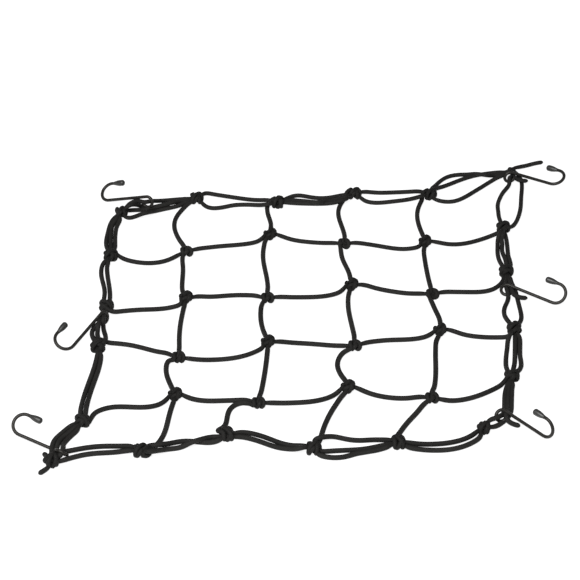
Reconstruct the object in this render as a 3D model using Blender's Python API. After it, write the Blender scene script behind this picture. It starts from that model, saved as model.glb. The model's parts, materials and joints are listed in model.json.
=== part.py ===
"""Elastic cargo net of five by five cells with six wire hooks, lying slack on a flat surface.

Metres, +Z up, +X along the net's wider side, origin on the surface under the middle of the whole part.
Tables are in millimetres and degrees. The net is one solid: doubled border strands and single mesh
strands, fused at ridged knots. Each hook is a bent wire whose eye holds the border, with a dipped tip.
"""

import math
from collections import namedtuple

import bmesh
import bpy
from mathutils import Matrix, Vector

MM = 0.001

# ---- driving dimensions, in millimetres ----
CELL = 76.0  # pitch of the even grid that the net was knotted to
LINES = 6  # knots along each side
CORD_RADIUS = 2.0
SURFACE_GAP = 0.5  # between a slack strand and the surface
ROW_RISE = 0.45  # how far strands cross a knot above or below its middle
COLUMN_RISE = -0.35
LANE_RISE = (0.15, -0.2, 0.6)
THREAD_RISE = 0.9
KNOT_HEIGHT = 4.0  # of a knot's middle above the surface
KNOT_LENGTH = 6.2  # half sizes of a mesh knot along and across its strand, and upwards
KNOT_WIDTH = 5.2
KNOT_DEPTH = 4.9
BORDER_KNOT_SCALE = 1.2
CLEARANCE = 0.35  # between separate pieces

WIRE_RADIUS = 1.45
SHANK = 44.0
BEND_RADIUS = 9.4
BEND_ANGLE = 182.0
TIP_REACH = 14.0  # straight wire and sleeve after the bend
SLEEVE_LENGTH = 10.5
SLEEVE_RADIUS = 2.2
EYE_RADIUS = 5.2
EYE_ARC = 284.0

# Where the middle of the whole part lies on the grid of knots.
PART_MIDDLE = Vector((-1.0, 15.5, 0.0))

# ---- how the slack net lies ----
Drift = namedtuple("Drift", "east north")
Span = namedtuple("Span", "leave arrive bow sway")
Hook = namedtuple("Hook", "name east north up heading pitch roll eye_turn")
Tail = namedtuple("Tail", "east north heading length")
Via = namedtuple("Via", "east north up")

# How far each knot lies from its place on the even grid, a row from left to right, far row first.
KNOTS = (
    (Drift(10, -26), Drift(7, -2), Drift(11, -9), Drift(10, 6), Drift(9, 5), Drift(15, 47)),
    (Drift(4, -21), Drift(0, -14), Drift(4, 14), Drift(-1, -1), Drift(1, 2), Drift(1, 25)),
    (Drift(4, -24), Drift(2, -11), Drift(2, -11), Drift(5, 9), Drift(4, -5), Drift(0, 30)),
    (Drift(0, -7), Drift(-2, -24), Drift(3, -2), Drift(6, -7), Drift(9, 16), Drift(1, 18)),
    (Drift(-8, -39), Drift(-3, -2), Drift(-5, -13), Drift(-1, 9), Drift(-3, -6), Drift(-6, 24)),
    (Drift(-31, -16), Drift(-31, -3), Drift(-32, 19), Drift(-33, 0), Drift(-35, 8), Drift(-35, 28)),
)

# Strands between neighbouring knots: sideways offset where one leaves and arrives, its bow and its S-shaped
# sway, positive to the left of the way it runs. Rows run left to right, columns from far to near.
ROW_STRANDS = (
    (Span(2, 2, -16, 1), Span(1, -4, 0, 3), Span(4, 1, -7, -1), Span(3, -5, -5, 4), Span(5, -4, -12, -3)),
    (Span(-10, -7, -4, 2), Span(5, 2, 0, -3), Span(2, -2, -8, 2), Span(8, 2, -7, 0), Span(2, -3, -13, 5)),
    (Span(6, 4, 2, 3), Span(-1, -4, -12, 1), Span(3, -1, 0, -1), Span(0, -1, -1, 3), Span(7, -11, -9, -2)),
    (Span(-2, 1, 3, 7), Span(2, 2, -4, -2), Span(0, 1, -10, 1), Span(4, 5, -11, 0), Span(-3, -3, -9, -2)),
)
COLUMN_STRANDS = (
    (Span(-1, 3, -17, 0), Span(-5, -2, 1, 2), Span(0, 1, -2, 0), Span(-8, -1, -5, -2), Span(0, 6, 3, 0)),
    (Span(-10, -3, 3, -2), Span(-3, 0, -3, -2), Span(-5, 0, -4, 0), Span(0, 0, 1, -2), Span(-9, -6, -9, -6)),
    (Span(-5, 1, -7, -3), Span(-3, -2, 0, -2), Span(-2, 1, -3, -1), Span(-3, 3, -12, -1), Span(0, 4, -2, 0)),
    (Span(-4, 1, -8, -1), Span(-3, 0, -1, 0), Span(-2, 0, 2, 0), Span(-3, 0, 0, -2), Span(-3, -2, -1, 1)),
)
# Border strands, side by side between neighbouring border knots, clockwise from the far left corner.
FAR_BORDER = (
    (Span(6, -6, -1, -2), Span(-11, -8, 2, 0)),
    (Span(8, 6, -2, 2), Span(-3, -9, -2, -8)),
    (Span(3, 6, -1, 6), Span(-3, -1, -9, 3)),
    (Span(4, 4, -1, -3), Span(-1, -7, -7, -7)),
    (Span(3, -2, 20, 4), Span(6, -7, 10, -2), Span(-8, -8, -6, -7)),
)
RIGHT_BORDER = (
    (),
    (Span(-5, -3, -3, 2), Span(2, 4, 1, 1)),
    (Span(1, 5, 4, -1),),
    (Span(-6, -1, -2, 1), Span(4, 1, 6, -2)),
)
NEAR_BORDER = (
    (Span(4, 3, 7, 1), Span(-5, 0, 6, 2)),
    (Span(9, -1, 0, 1), Span(-3, -10, 5, -3)),
    (Span(4, 7, -1, 3), Span(-4, 1, -3, 4)),
    (Span(9, 7, 3, 5), Span(-3, 0, -6, -5)),
    (Span(-1, 0, -8, 1), Span(-6, -3, -13, 2)),
)
LEFT_BORDER = (
    (Span(-4, -3, -7, 0), Span(2, 4, -3, 0)),
    (Span(-4, -4, -1, -3), Span(-1, 2, 0, -2)),
    (Span(-1, -4, 1, -2),),
    (Span(-2, -3, -1, 2), Span(2, 2, 1, 2)),
    (Span(-3, 0, -7, 2),),
)

# Strands that lie too freely for a span, as places along their way: from the far right corner knot through
# the hook's eye, and beside it.
FREE_STRANDS = (
    (
        Via(205, 237, 4), Via(204, 232, 2.6), Via(203, 225, 4.4), Via(204, 216, 6.4), Via(200, 208, 5),
        Via(195, 200, 3), Via(191, 191, 2.5), Via(188, 179, 2.5), Via(187, 167, 2.5), Via(189, 157, 2.5), Via(191, 141, 4),
    ),
    (
        Via(205, 237, 4), Via(211, 232, 3), Via(214, 223, 2.5), Via(214, 210, 2.5), Via(212, 192, 2.5),
        Via(210, 172, 2.5), Via(206, 154, 2.5), Via(193, 138, 4),
    ),
)

# Where the shank leaves the eye, its heading, how far it points upwards, its roll, and the eye's turn on it.
HOOKS = (
    Hook("far_left", -155.0, 172.0, 17.6, 158, -20, 151, -45),
    Hook("left", -189.0, -7.5, 12.0, 236, -13, 153, -45),
    Hook("near_left", -212.0, -193.5, 1.5, 155, 8, 142, 90),
    Hook("far_right", 205.2, 228.8, 7.0, -36, 6, 16, 15),
    Hook("right", 190.0, 42.0, 7.5, -28, -6, 43, -15),
    Hook("near_right", 174.0, -144.0, 9.0, -45, -3, 84, -45),
)

# Strands that the eyes hold: the knots they run between, their shape, and their offset in the eye.
THREADED = (
    ("far_left", (0, 0), (0, 1), Span(2, -2, 4, 0), 1.4),
    ("left", (2, 0), (3, 0), Span(0, 0, 0, 0), 0.0),
    ("near_left", (4, 0), (5, 0), Span(2, 2, -3, 0), 0.0),
    ("right", (2, 5), (3, 5), Span(-2, -2, 2, 0), 0.0),
    ("near_right", (4, 5), (5, 5), Span(2, 2, 10, 0), -1.3),
    ("near_right", (4, 5), (5, 5), Span(-1, -2, 14, 0), 1.7),
)

# Cut ends of the cord that stand out of the knots: where they start, their heading and their length.
TAILS = (
    Tail(207, 240, 22, 33),
    Tail(205, 221, 2, 15),
    Tail(186, 24, 8, 22),
    Tail(163, -155, -16, 22),
    Tail(-222, -206, 234, 20),
    Tail(-220, -204, 140, 15),
)

# ---- how finely the round shapes are stepped ----
BOWED_STEPS = (0.0, 0.15, 0.38, 0.62, 0.85, 1.0)
STRAIGHT_STEPS = (0.0, 0.16, 0.5, 0.84, 1.0)
STRAIGHT_BOW = 8.0  # bow and sway under this take the fewer steps
EYE_STEPS = 11
BEND_STEPS = 9
KNOT_RINGS = 6
KNOT_SIDES = 7
SLEEVE_SIDES = 8
KNOT_RIDGES = (1.5, 0.78, 1.05, 0.78, 1.5)  # three turns of cord, ring by ring along a knot
KNOT_LEAN = 32.0  # the turns' slant to the strand, which changes side from knot to knot
BORDER_LEAN = 16.0
SETTLING = 4  # how soon a strand comes down from a knot: higher is sooner
TUBE_BEVEL = 1  # of a strand or a wire, for six sides
WELD = 1e-6  # metres
SLEEVE_EDGE = 0.5  # share of a sleeve's radius that its rounded ends take
KNOT_HOLD = 3.0  # how far off its middle a knot takes in a strand
EYE_LEAD = 5.0  # straight stretch of strand each side of an eye's middle
EYE_KEEP = 11.0  # from an eye's middle to the strand's own next point


# ---- where things lie ----
def knot_place(row, column):
    """The middle of a knot, from its place on the even grid and its drift."""
    drift = KNOTS[row][column]
    half = (LINES - 1) / 2
    return Vector(((column - half) * CELL + drift.east, (half - row) * CELL + drift.north, KNOT_HEIGHT))


def turned(hook):
    """A hook's turn, whose own +X runs along the shank and whose +Y points to the bend."""
    about_up = Matrix.Rotation(math.radians(hook.heading), 3, "Z")
    about_side = Matrix.Rotation(math.radians(-hook.pitch), 3, "Y")
    about_shank = Matrix.Rotation(math.radians(hook.roll), 3, "X")
    return about_up @ about_side @ about_shank


def eye_of(name):
    """Centre and axis of a hook's eye."""
    hook = next(hook for hook in HOOKS if hook.name == name)
    turn = turned(hook) @ Matrix.Rotation(math.radians(hook.eye_turn), 3, "X")
    start = Vector((hook.east, hook.north, hook.up))
    return start + turn @ Vector((0.0, -EYE_RADIUS, 0.0)), turn @ Vector((0.0, 0.0, 1.0))


def strand_path(start, end, span, rise, eye=None, beside=0.0):
    """Points along a strand from knot to knot, which may lead through an eye, given as (centre, axis).

    The rise sets its height at the knots apart from other strands', and beside is its offset in the eye.
    """
    along = (end - start).normalized()
    side = Vector((-along.y, along.x, 0.0))
    low = CORD_RADIUS + SURFACE_GAP
    steps = STRAIGHT_STEPS if abs(span.bow) + abs(span.sway) < STRAIGHT_BOW else BOWED_STEPS
    points = []
    for t in steps:
        leave = max(-KNOT_HOLD, min(KNOT_HOLD, span.leave)) if t == 0.0 else span.leave
        arrive = max(-KNOT_HOLD, min(KNOT_HOLD, span.arrive)) if t == 1.0 else span.arrive
        offset = leave * (1 - t) + arrive * t
        offset += span.bow * math.sin(math.pi * t) + span.sway * math.sin(2 * math.pi * t)
        point = start.lerp(end, t) + side * offset
        point.z = low + (KNOT_HEIGHT + rise - low) * math.cos(math.pi * t) ** SETTLING
        points.append(point)
    if eye is None:
        return points
    centre, axis = eye
    centre = centre + side * beside
    lead = ((axis if axis.dot(along) > 0 else -axis) + along).normalized() * EYE_LEAD
    before = [point for point in points if (point - centre).dot(along) < -EYE_KEEP]
    after = [point for point in points if (point - centre).dot(along) > EYE_KEEP]
    threaded = [centre - lead, centre, centre + lead]
    for point in threaded:
        point.z = max(point.z, low)
    return before + threaded + after


def wire_path(hook):
    """Centre line of a hook's wire in its own axes, from the end of its eye to where the sleeve begins."""
    eye_turn = Matrix.Rotation(math.radians(hook.eye_turn), 3, "X")
    points = []
    for step in range(EYE_STEPS, 0, -1):
        angle = math.radians(EYE_ARC) * step / EYE_STEPS
        in_eye = Vector((-math.sin(angle), math.cos(angle) - 1.0, 0.0)) * EYE_RADIUS
        points.append(eye_turn @ in_eye)
    points.append(Vector((0.0, 0.0, 0.0)))
    for step in range(BEND_STEPS + 1):
        angle = math.radians(BEND_ANGLE) * step / BEND_STEPS
        points.append(Vector((SHANK + BEND_RADIUS * math.sin(angle), BEND_RADIUS * (1 - math.cos(angle)), 0.0)))
    points.append(points[-1] + tip_direction() * (TIP_REACH - SLEEVE_LENGTH - CLEARANCE))
    return points


def tip_direction():
    angle = math.radians(BEND_ANGLE)
    return Vector((math.cos(angle), math.sin(angle), 0.0))


# ---- Blender objects ----
def material(name, colour, roughness, metallic=0.0):
    made = bpy.data.materials.new(name)
    made.use_nodes = True
    shader = made.node_tree.nodes["Principled BSDF"]
    shader.inputs["Base Color"].default_value = (*colour, 1.0)
    shader.inputs["Roughness"].default_value = roughness
    shader.inputs["Metallic"].default_value = metallic
    return made


def new_collection(name, helper=False):
    made = bpy.data.collections.new(name)
    made.hide_render = helper
    bpy.context.scene.collection.children.link(made)
    return made


def add_object(name, mesh, collection, finish=None):
    made = bpy.data.objects.new(name, mesh)
    collection.objects.link(made)
    if finish:
        mesh.materials.append(finish)
    return made


def add_helper(name, mesh, collection):
    made = add_object(name, mesh, collection)
    made.hide_render = True
    made.display_type = "WIRE"
    return made


def tube_mesh(name, points, radius):
    """A closed round tube along the points, as a mesh in metres with its caps welded on."""
    curve = bpy.data.curves.new(name, "CURVE")
    curve.dimensions = "3D"
    curve.bevel_depth = radius * MM
    curve.bevel_resolution = TUBE_BEVEL
    curve.use_fill_caps = True
    spline = curve.splines.new("POLY")
    spline.points.add(len(points) - 1)
    for control, point in zip(spline.points, points):
        control.co = (*(point * MM), 1.0)
    guide = bpy.data.objects.new(name, curve)
    bpy.context.scene.collection.objects.link(guide)
    bpy.context.view_layer.update()
    mesh = bpy.data.meshes.new_from_object(guide.evaluated_get(bpy.context.evaluated_depsgraph_get()))
    bpy.data.objects.remove(guide)
    bpy.data.curves.remove(curve)
    weld = bmesh.new()
    weld.from_mesh(mesh)
    bmesh.ops.remove_doubles(weld, verts=weld.verts, dist=WELD)
    bmesh.ops.recalc_face_normals(weld, faces=weld.faces)
    weld.to_mesh(mesh)
    weld.free()
    mesh.name = name
    return mesh


def knot_mesh(name, middle, heading, scale=1.0):
    """A knot's lump: turns of cord as ridges round it, and a flat spot where it rests."""
    lump = bmesh.new()
    bmesh.ops.create_uvsphere(lump, u_segments=KNOT_SIDES, v_segments=KNOT_RINGS, radius=1.0)
    for vertex in lump.verts:
        ring = round(math.acos(max(-1.0, min(1.0, vertex.co.z))) / math.pi * KNOT_RINGS)
        if 0 < ring < KNOT_RINGS:
            ridge = KNOT_RIDGES[ring - 1]
            vertex.co.x *= ridge
            vertex.co.y *= ridge
    bmesh.ops.rotate(lump, verts=lump.verts, matrix=Matrix.Rotation(math.radians(90), 3, "Y"))
    bmesh.ops.scale(lump, verts=lump.verts, vec=Vector((KNOT_LENGTH, KNOT_WIDTH, KNOT_DEPTH)) * scale)
    bmesh.ops.rotate(lump, verts=lump.verts, matrix=Matrix.Rotation(math.radians(heading), 3, "Z"))
    bmesh.ops.translate(lump, verts=lump.verts, vec=middle)
    cut = bmesh.ops.bisect_plane(
        lump, geom=lump.verts[:] + lump.edges[:] + lump.faces[:],
        plane_co=Vector(), plane_no=Vector((0.0, 0.0, 1.0)), clear_inner=True,
    )
    rim = [edge for edge in cut["geom_cut"] if isinstance(edge, bmesh.types.BMEdge)]
    bmesh.ops.edgeloop_fill(lump, edges=rim)
    bmesh.ops.recalc_face_normals(lump, faces=lump.faces)
    bmesh.ops.scale(lump, verts=lump.verts, vec=Vector((MM, MM, MM)))
    mesh = bpy.data.meshes.new(name)
    lump.to_mesh(mesh)
    lump.free()
    return mesh


def heading_between(first, last):
    return math.degrees(math.atan2(last.y - first.y, last.x - first.x))


def net_pieces():
    """Every knot, strand and tail of the net, as (name, mesh)."""
    place = {(row, column): knot_place(row, column) for row in range(LINES) for column in range(LINES)}
    outer = (0, LINES - 1)
    pieces = []
    for (row, column), middle in place.items():
        on_side = column in outer
        on_border = on_side or row in outer
        lean = (BORDER_LEAN if on_border else KNOT_LEAN) * (1 if (row + column) % 2 else -1)
        if on_side:
            heading = 90.0 + lean
        elif on_border:
            heading = lean
        else:
            heading = heading_between(place[row, column - 1], place[row, column + 1]) + lean
        scale = BORDER_KNOT_SCALE if on_border else 1.0
        pieces.append((f"knot_{row}_{column}", knot_mesh("knot", middle, heading, scale)))

    def strand(name, first, last, span, rise, eye=None, beside=0.0):
        path = strand_path(first, last, span, rise, eye_of(eye) if eye else None, beside)
        pieces.append((name, tube_mesh("strand", path, CORD_RADIUS)))

    for row, spans in enumerate(ROW_STRANDS, 1):
        for column, span in enumerate(spans):
            strand(f"row_{row}_{column}", place[row, column], place[row, column + 1], span, ROW_RISE)
    for column, spans in enumerate(COLUMN_STRANDS, 1):
        for row, span in enumerate(spans):
            strand(f"column_{column}_{row}", place[row, column], place[row + 1, column], span, COLUMN_RISE)
    sides = (
        ("far", FAR_BORDER, [place[0, column] for column in range(LINES)]),
        ("right", RIGHT_BORDER, [place[row, outer[1]] for row in range(LINES)]),
        ("near", NEAR_BORDER, [place[outer[1], column] for column in range(LINES)]),
        ("left", LEFT_BORDER, [place[row, 0] for row in range(LINES)]),
    )
    for side, border, knots in sides:
        for step, spans in enumerate(border):
            for lane, span in enumerate(spans):
                strand(f"{side}_{step}_{lane}", knots[step], knots[step + 1], span, LANE_RISE[lane])
    for eye, first, last, span, beside in THREADED:
        strand(f"through_{eye}", place[first], place[last], span, THREAD_RISE, eye, beside)
    for number, vias in enumerate(FREE_STRANDS):
        pieces.append((f"free_{number}", tube_mesh("strand", [Vector(via) for via in vias], CORD_RADIUS)))
    for number, tail in enumerate(TAILS):
        start = Vector((tail.east, tail.north, KNOT_HEIGHT))
        heading = math.radians(tail.heading)
        reach = Vector((math.cos(heading), math.sin(heading), 0.0)) * tail.length
        path = [start, start + reach]
        path[1].z = CORD_RADIUS + SURFACE_GAP
        pieces.append((f"tail_{number}", tube_mesh("tail", path, CORD_RADIUS)))
    return pieces


def build_net(parts, cutters, cord):
    helpers = new_collection("net pieces", helper=True)
    pieces = net_pieces()
    for name, mesh in pieces[1:]:
        add_helper(name, mesh, helpers)
    net = add_object("net", pieces[0][1], parts, cord)
    fuse = net.modifiers.new("fuse the strands at their knots", "BOOLEAN")
    fuse.operation = "UNION"
    fuse.operand_type = "COLLECTION"
    fuse.collection = helpers
    clear = net.modifiers.new("room for the hooks", "BOOLEAN")
    clear.operation = "DIFFERENCE"
    clear.operand_type = "COLLECTION"
    clear.collection = cutters


def build_hook(hook, parts, cutters, steel, vinyl):
    frame = Matrix.Translation(Vector((hook.east, hook.north, hook.up)) * MM) @ turned(hook).to_4x4()
    path = wire_path(hook)
    wire = add_object(f"hook_{hook.name}", tube_mesh("wire", path, WIRE_RADIUS), parts, steel)
    wire.matrix_world = frame
    room = add_helper(f"room_{hook.name}", tube_mesh("room", path, WIRE_RADIUS + CLEARANCE), cutters)
    room.matrix_world = frame
    sleeve = bmesh.new()
    bmesh.ops.create_cone(
        sleeve, cap_ends=True, segments=SLEEVE_SIDES, depth=SLEEVE_LENGTH * MM,
        radius1=SLEEVE_RADIUS * MM, radius2=SLEEVE_RADIUS * MM,
    )
    ends = [edge for edge in sleeve.edges if abs(edge.verts[0].co.z - edge.verts[1].co.z) < WELD]
    bmesh.ops.bevel(
        sleeve, geom=ends, offset=SLEEVE_RADIUS * MM * SLEEVE_EDGE, segments=1, profile=0.5, affect="EDGES", material=-1
    )
    mesh = bpy.data.meshes.new("sleeve")
    sleeve.to_mesh(mesh)
    sleeve.free()
    tip = add_object(f"tip_{hook.name}", mesh, parts, vinyl)
    middle = path[-1] + tip_direction() * (CLEARANCE + SLEEVE_LENGTH / 2)
    upright = tip_direction().to_track_quat("Z", "Y").to_matrix().to_4x4()
    tip.matrix_world = frame @ Matrix.Translation(middle * MM) @ upright


def main():
    for thing in list(bpy.data.objects):
        bpy.data.objects.remove(thing)
    parts = new_collection("cargo net")
    cutters = new_collection("cutters", helper=True)
    steel = material("dark steel wire", (0.10, 0.10, 0.095), 0.38, 1.0)
    vinyl = material("black vinyl", (0.01, 0.01, 0.01), 0.4)
    for hook in HOOKS:
        build_hook(hook, parts, cutters, steel, vinyl)
    build_net(parts, cutters, material("black elastic cord", (0.012, 0.012, 0.012), 0.85))
    middle = bpy.data.objects.new("part_middle", None)
    for thing in list(bpy.data.objects):
        if thing is not middle:
            thing.parent = middle
    parts.objects.link(middle)
    middle.location = -PART_MIDDLE * MM


main()
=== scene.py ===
"""Looks of a slack elastic cargo net with six wire hooks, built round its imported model.

The cords are round braided tubes that run through real knots, the hooks are bent wire with dipped tips.
Tables are in millimetres and degrees on the grid that the net was knotted to, as in the part's source.
"""

import json
import math
from collections import namedtuple
from functools import partial

import bmesh
import bpy
import numpy as np
from bpy.props import FloatProperty, FloatVectorProperty, IntProperty, PointerProperty
from mathutils import Matrix, Vector

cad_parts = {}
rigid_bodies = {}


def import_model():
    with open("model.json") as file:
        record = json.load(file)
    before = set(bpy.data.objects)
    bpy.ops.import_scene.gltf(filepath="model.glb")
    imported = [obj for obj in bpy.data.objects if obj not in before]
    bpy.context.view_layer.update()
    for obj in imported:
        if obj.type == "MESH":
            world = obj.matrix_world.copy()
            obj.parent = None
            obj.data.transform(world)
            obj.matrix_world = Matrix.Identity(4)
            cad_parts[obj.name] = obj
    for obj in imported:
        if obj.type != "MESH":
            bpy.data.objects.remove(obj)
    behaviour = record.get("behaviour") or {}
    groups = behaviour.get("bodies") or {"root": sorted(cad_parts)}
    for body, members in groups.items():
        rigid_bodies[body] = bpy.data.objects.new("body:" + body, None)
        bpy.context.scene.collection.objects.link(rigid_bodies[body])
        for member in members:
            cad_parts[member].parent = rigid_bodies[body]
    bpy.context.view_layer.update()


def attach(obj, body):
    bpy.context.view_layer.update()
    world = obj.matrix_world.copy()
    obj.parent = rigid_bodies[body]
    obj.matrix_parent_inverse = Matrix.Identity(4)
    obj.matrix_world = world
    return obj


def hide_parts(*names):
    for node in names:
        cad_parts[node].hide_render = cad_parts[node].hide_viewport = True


bl_info = {
    "name": "Cargo Net",
    "version": (1, 0, 0),
    "blender": (4, 5, 0),
    "location": "3D View > Sidebar > Cargo Net",
    "description": "Builds a slack elastic cargo net with wire hooks and its studio stage",
    "category": "Object",
}

for leftover in list(bpy.data.objects):
    bpy.data.objects.remove(leftover)
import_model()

MM = 0.001
CELL = 76.0  # pitch of the even grid that the net was knotted to
LINES = 6  # knots along each side
PART_MIDDLE = Vector((-1.0, 15.5, 0.0))  # middle of the whole part on that grid
LYING = 2.4  # height of a slack strand's middle
KNOT_MIDDLE = 3.9  # heights of the middle of a mesh knot and of a border knot
BORDER_MIDDLE = 4.1
STRAND_STEPS = 13
KNOT_REACH = 7.4  # a knot shapes its cords this far from its middle
NEAR_SWELL = 0.12  # how much thicker the cords lie at the near side than at the far side
COLUMN_THICKNESS = 1.06
DRAWN_REACH = 6.0  # a cord is drawn up this near to a knot's middle, and slack from twice as far
# the UV map whose X masks the cords' painted shade in knots
KNOT_SHADE_UV = "Drawn up"
RELAXING = 8
CORD_SIDES = 12
CUT_TAPER = (0.45, 0.86)  # share of its thickness that a cord keeps at its last two rings
SPLINE_STEPS = 12
STRAND_CLEAR = 1.5  # between a knot's reach and the first place of a strand
SINKING = 9.0  # length over which a strand comes down from a knot

# How slack cords that would run into each other are moved apart.
MEETING_REACH = 6.0
STILL_SLACK = 0.5
ALONGSIDE = 0.8  # cosine between two cords that run along each other
LEAST_APART = 1.0
PRESSED = 0.95  # share of its full height at which a cord lies on the one that it crosses
MOST_ASIDE = 1.2  # how far a cord moves aside for one that runs along it
LIFT_STEPS = 8
LIFT_LEAN = 1.33  # a lifted stretch lies nearer by this share, since its places follow the line of sight
LAID = {}  # routes, radii and tightness of the cords of each piece that is built

LANE_HOLD = 2.1  # how far off its middle a border knot takes in a strand
LANE_RISE = (0.3, -0.4, 0.8)
THROUGH_KNOT = 3.6
EYE_LEAD = 4.2

Span = namedtuple("Span", "leave arrive bow sway")
Hook = namedtuple("Hook", "name east north up heading pitch roll eye_turn")

# How far east and north of its place on the even grid each knot lies.
KNOTS = (
    ((10, -26), (7, -2), (11, -9), (10, 6), (9, 5), (15, 47)),
    ((4, -21), (0, -14), (4, 14), (-1, -1), (1, 2), (1, 25)),
    ((4, -24), (2, -11), (2, -11), (5, 9), (4, -5), (-1, 30)),
    ((0, -9), (-2, -24), (3, -2), (6, -7), (9, 16), (1, 18)),
    ((-8, -39), (-3, -2), (-5, -13), (-1, 9), (-3, -6), (-6, 24)),
    ((-31, -16), (-31, -3), (-32, 19), (-33, 0), (-35, 8), (-35, 28)),
)
ROW_STRANDS = (
    (Span(1, 1, -14, 1), Span(1, -5, 0, 2), Span(3, 0, -4, -1), Span(2, -6, -3, 3), Span(4, -5, -11, -2)),
    (Span(-11, -8, 0, 2), Span(4, 1, 3, -2), Span(1, -3, -6, 2), Span(6, 0, -4, 0), Span(1, -3, -13, 5)),
    (Span(6, 4, 4, 2), Span(-2, -4, -9, 1), Span(2, -2, 2, 0), Span(0, -2, 0, 3), Span(6, -12, -6, -1)),
    (Span(-2, 0, 5, 8), Span(1, 3, -3, -2), Span(-1, 0, -8, 2), Span(3, 4, -9, 0), Span(-4, -3, -8, -1)),
)
COLUMN_STRANDS = (
    (Span(-2, 2, -17, -1), Span(-6, -3, 1, 1), Span(0, 1, -3, 0), Span(-9, -1, -4, -1), Span(1, 7, 4, -2)),
    (Span(-10, -3, 2, -2), Span(-3, 0, -3, -2), Span(-5, 0, -4, 0), Span(0, 0, 1, 0), Span(-10, -6, -8, -3)),
    (Span(-5, 1, -8, -3), Span(-3, -2, 0, -2), Span(-2, 1, -3, -1), Span(-4, 2, -12, -1), Span(0, 4, -5, 0)),
    (Span(-5, 0, -8, -1), Span(-3, 0, -1, 0), Span(-3, 0, 2, -1), Span(-3, 0, 1, -1), Span(-3, -3, -2, 1)),
)
# Border strands between neighbouring border knots, where they lie plainly enough for a span.
FAR_BORDER = (
    (),
    (Span(12, 5, -2, 1),),
    (Span(-1, -4, -5, 2),),
    (Span(6, 6, -1, -1),),
    (Span(6, -3, 9, -2),),
)
NEAR_BORDER = (
    (Span(8, 6, 7, 0), Span(-6, 3, 7, 2)),
    (),
    (Span(4, 5, 0, 4), Span(-2, 9, -6, 5)),
    (),
    (Span(0, -1, -9, 1), Span(-5, -7, -12, 1)),
)
LEFT_BORDER = (
    (),
    (Span(-4, -5, -1, -3), Span(-3, 3, 0, -1)),
    (),
    (Span(1, -3, -1, 1), Span(3, 1, 0, 1)),
    (),
)
# Where the shank leaves the eye, its heading, how far it points upwards, its roll and the eye's turn.
HOOKS = (
    Hook("far_left", -155.0, 172.0, 17.6, 158, -20, 151, -45),
    Hook("left", -189.0, -7.5, 12.0, 236, -13, 153, -45),
    Hook("near_left", -212.0, -193.5, 1.5, 155, 8, 142, 90),
    Hook("far_right", 205.2, 228.8, 7.0, -36, 6, 16, 15),
    Hook("right", 190.0, 42.0, 7.5, -28, -6, 43, -15),
    Hook("near_right", 174.0, -144.0, 9.0, -45, -3, 84, -45),
)
# Strands that lie too freely for a span. Each joins two knots of its side, or one knot and a cut end, by
# places along its way: east, north and, where it doesn't lie on the floor, up. A hook's name stands for its
# eye, with the strand's place across it.
FREE_FAR = (
    (0, 1, (
        (-175, 171, 6), (-170, 175, 9), (-163, 175, 11), ("far_left", 0.0), (-147, 177, 9), (-141, 183, 5),
        (-133, 187, 3), (-123, 189, 2.6),
    )),
    (0, None, (
        (-172, 174, 5.5), (-166, 177, 5), (-160, 176, 3.4), (-155, 173, 3), (-149, 175, 2.6), (-140, 179),
        (-132, 182),
    )),
    (0, 1, ((-171, 170, 3), (-162, 171), (-152, 174), (-142, 178), (-133, 182), (-123, 185, 3))),
    (0, 1, (
        (-173, 156, 2.8), (-166, 160), (-157, 165), (-147, 169), (-137, 173), (-128, 176, 2.6),
        (-120, 179, 3.5),
    )),
    (1, 2, (
        (-102, 183, 3.4), (-99, 178), (-93, 174), (-87, 174), (-79, 176), (-72, 179), (-64, 180), (-54, 180),
        (-45, 179), (-37, 179, 3),
    )),
    (2, 3, (
        (-20, 188, 3.4), (-15, 193, 2.6), (-10, 196), (-5, 196), (4, 193), (14, 191), (24, 192),
        (34, 195, 2.8),
    )),
    (3, 4, (
        (54, 191, 3.4), (58, 186), (63, 184), (69, 183), (78, 184), (88, 186), (98, 188), (108, 191, 2.6),
        (114, 193, 3.2),
    )),
    (4, 5, (
        (125, 206, 3.4), (129, 213, 2.6), (134, 221), (141, 228), (148, 231), (155, 232), (163, 232),
        (173, 232), (183, 231), (193, 232, 3),
    )),
    (4, 5, (
        (125, 191, 3.2), (130, 187), (137, 185), (144, 185), (152, 189), (159, 195), (167, 203), (175, 211),
        (183, 219, 2.6), (191, 226, 3.2),
    )),
    (2, 3, ((-15, 187, 3.2), (-8, 186, 3), (0, 184, 3), (9, 182, 2.8), (19, 183, 3), (30, 186, 3.5))),
)
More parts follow.
